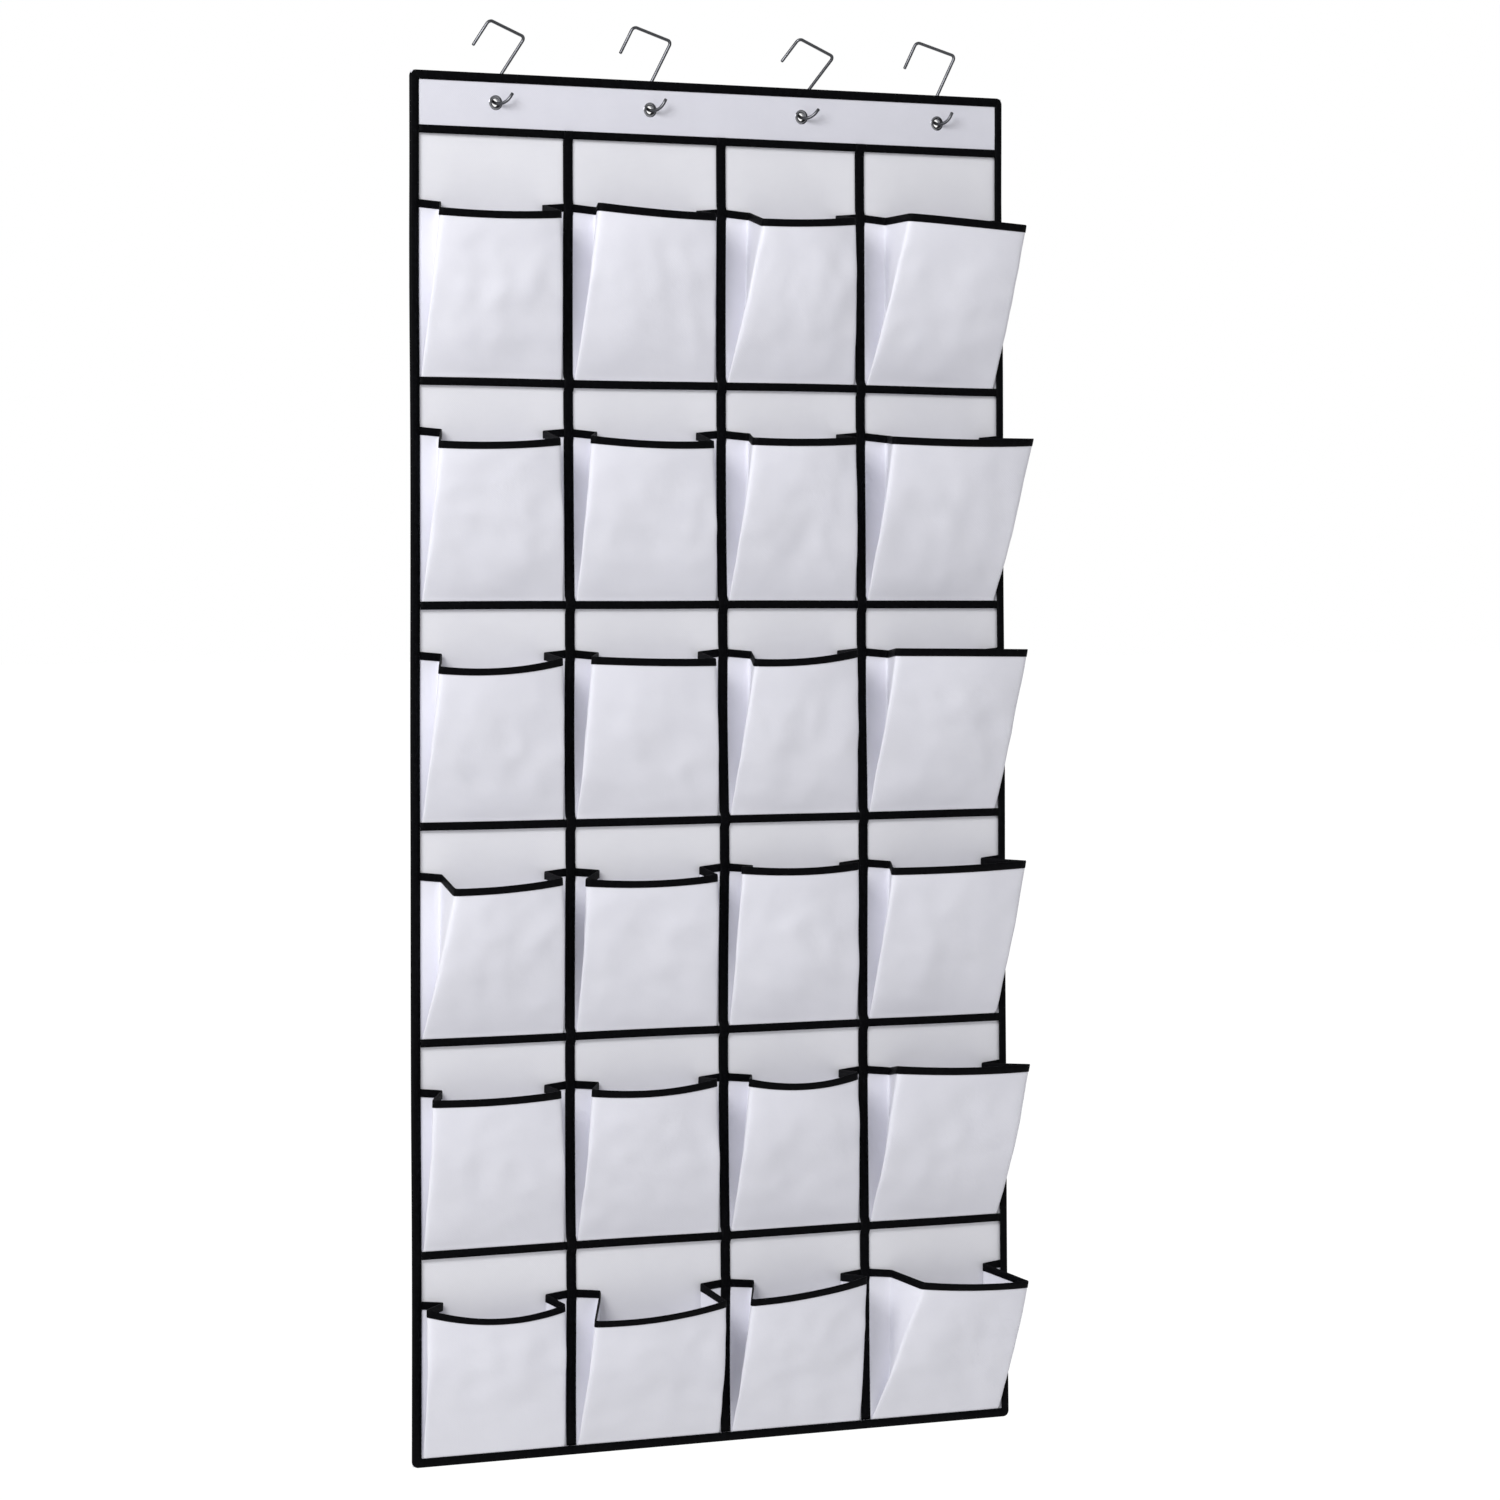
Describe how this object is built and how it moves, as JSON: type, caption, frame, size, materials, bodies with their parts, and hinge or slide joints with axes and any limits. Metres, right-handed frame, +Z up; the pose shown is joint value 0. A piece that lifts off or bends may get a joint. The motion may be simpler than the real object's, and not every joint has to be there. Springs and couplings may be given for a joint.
{
  "type": "over-the-door shoe organizer",
  "caption": "Hanging cloth panel with rows of pleated open-topped pockets, black taped seams and wire hooks that fit over the top of a door.",
  "frame": {"origin": "where it hangs: the middle of the width, on the top front edge of the door that the upright hooks sit on", "axes": "+X along the width, to the right of somebody facing the pockets; +Y back towards the door, so the pockets open towards -Y; +Z up"},
  "size_m": [0.76, 0.1334, 1.589],
  "materials": {
    "pale_cloth": "smooth non-woven cloth, satin",
    "black_tape": "woven binding tape, matt",
    "stiffening_board": "plain board, hidden",
    "eyelet_metal": "nickel-plated, polished",
    "hook_wire": "zinc-plated wire, bright"
  },
  "bodies": {
    "organizer": {"back_panel": "pale_cloth", "column_tape_1": "black_tape", "column_tape_2": "black_tape", "column_tape_3": "black_tape", "edge_binding": "black_tape", "eyelet_1": "eyelet_metal", "eyelet_2": "eyelet_metal", "eyelet_3": "eyelet_metal", "eyelet_4": "eyelet_metal", "eyelet_washer_1": "eyelet_metal", "eyelet_washer_2": "eyelet_metal", "eyelet_washer_3": "eyelet_metal", "eyelet_washer_4": "eyelet_metal", "header_band": "pale_cloth", "header_stiffener": "stiffening_board", "header_tape": "black_tape", "pocket_r1_c1": "pale_cloth", "pocket_r1_c2": "pale_cloth", "pocket_r1_c3": "pale_cloth", "pocket_r1_c4": "pale_cloth", "pocket_r2_c1": "pale_cloth", "pocket_r2_c2": "pale_cloth", "pocket_r2_c3": "pale_cloth", "pocket_r2_c4": "pale_cloth", "pocket_r3_c1": "pale_cloth", "pocket_r3_c2": "pale_cloth", "pocket_r3_c3": "pale_cloth", "pocket_r3_c4": "pale_cloth", "pocket_r4_c1": "pale_cloth", "pocket_r4_c2": "pale_cloth", "pocket_r4_c3": "pale_cloth", "pocket_r4_c4": "pale_cloth", "pocket_r5_c1": "pale_cloth", "pocket_r5_c2": "pale_cloth", "pocket_r5_c3": "pale_cloth", "pocket_r5_c4": "pale_cloth", "pocket_r6_c1": "pale_cloth", "pocket_r6_c2": "pale_cloth", "pocket_r6_c3": "pale_cloth", "pocket_r6_c4": "pale_cloth", "pocket_rim_tape_1": "black_tape", "pocket_rim_tape_2": "black_tape", "pocket_rim_tape_3": "black_tape", "pocket_rim_tape_4": "black_tape", "pocket_rim_tape_5": "black_tape", "pocket_rim_tape_6": "black_tape", "row_tape_1": "black_tape", "row_tape_2": "black_tape", "row_tape_3": "black_tape", "row_tape_4": "black_tape", "row_tape_5": "black_tape"},
    "hook_1": {"door_hook_1": "hook_wire"},
    "hook_2": {"door_hook_2": "hook_wire"},
    "hook_3": {"door_hook_3": "hook_wire"},
    "hook_4": {"door_hook_4": "hook_wire"}
  },
  "joints": [
    {"name": "hook_1_turn", "type": "hinge", "parent": "organizer", "child": "hook_1", "pos_m": [-0.276, -0.0158, -0.0782], "axis": [-0.4397, -0.6482, -0.6217], "range_deg": [0, 42.1]},
    {"name": "hook_2_turn", "type": "hinge", "parent": "organizer", "child": "hook_2", "pos_m": [-0.083, -0.0158, -0.0782], "axis": [-0.4431, -0.54, -0.7156], "range_deg": [0, 38]},
    {"name": "hook_3_turn", "type": "hinge", "parent": "organizer", "child": "hook_3", "pos_m": [0.112, -0.0158, -0.0782], "axis": [-0.4332, -0.7068, -0.5592], "range_deg": [0, 45.5]},
    {"name": "hook_4_turn", "type": "hinge", "parent": "organizer", "child": "hook_4", "pos_m": [0.292, -0.0158, -0.0782], "axis": [-0.4423, -0.5025, -0.7429], "range_deg": [0, 36.9]}
  ]
}
